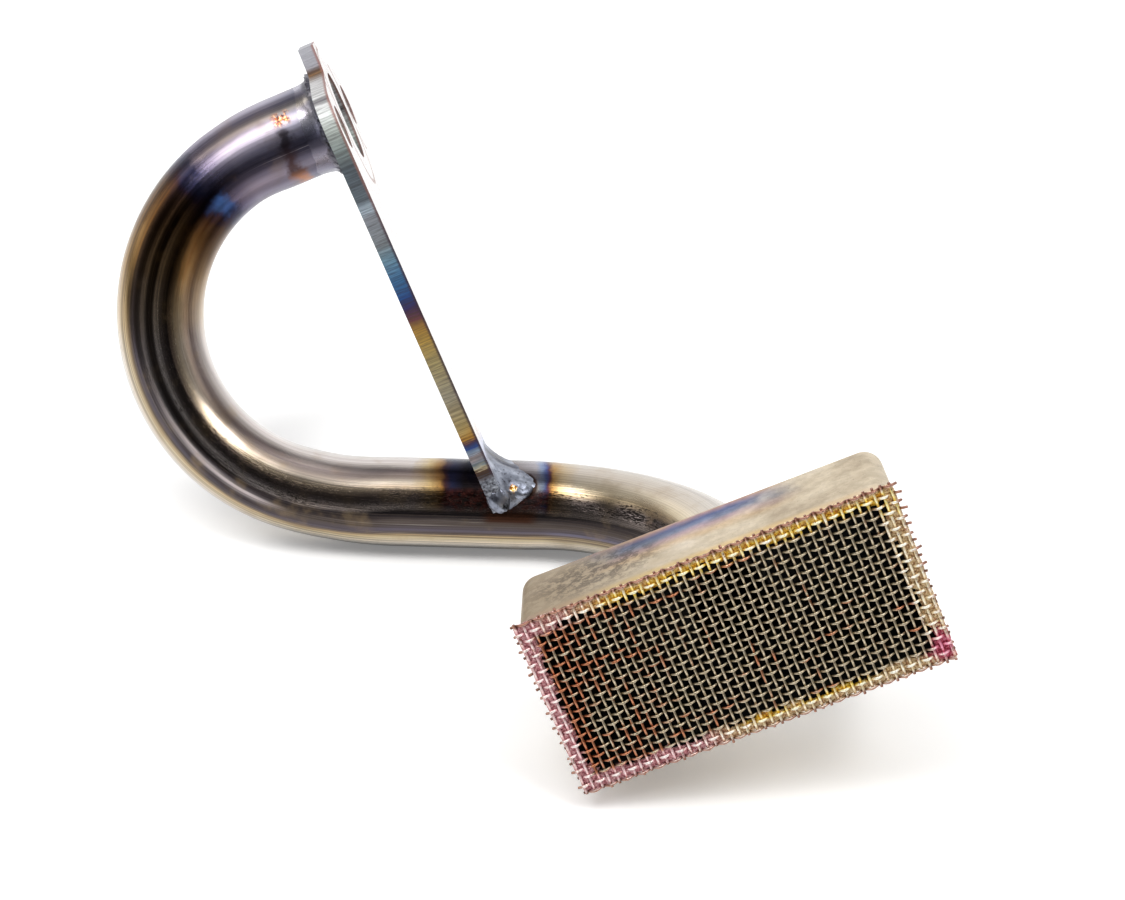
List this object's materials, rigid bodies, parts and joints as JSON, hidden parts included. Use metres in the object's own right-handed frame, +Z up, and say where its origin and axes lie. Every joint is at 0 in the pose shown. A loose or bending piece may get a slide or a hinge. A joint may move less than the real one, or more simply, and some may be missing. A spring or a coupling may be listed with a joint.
{
  "type": "oil pickup tube",
  "caption": "Bent steel oil pickup tube with a bolted flange plate, a long brace arm welded to the lower run, and a pressed box with a wire screen over its mouth.",
  "frame": {"origin": "on the floor under the middle of the part as it lies", "axes": "+X along the lower run of the tube, towards the screen box; +Z up from the surface it lies on"},
  "size_m": [0.1682, 0.1528, 0.0988],
  "materials": {
    "tube_steel": "bare tube with heat tints",
    "plate_steel": "flat bare plate with cut edges",
    "weld_metal": "rough weld bead, dark and tinted",
    "box_steel": "satin pressed sheet with heat tints",
    "wire_steel": "dull drawn wire",
    "braze_metal": "uneven braze, gold to pink"
  },
  "bodies": {
    "root": {"pickup_tube": "tube_steel", "flange_plate": "plate_steel", "flange_weld": "weld_metal", "brace_weld": "weld_metal", "screen_box": "box_steel", "box_weld": "weld_metal", "wire_screen": "wire_steel", "screen_braze": "braze_metal"}
  },
  "joints": []
}
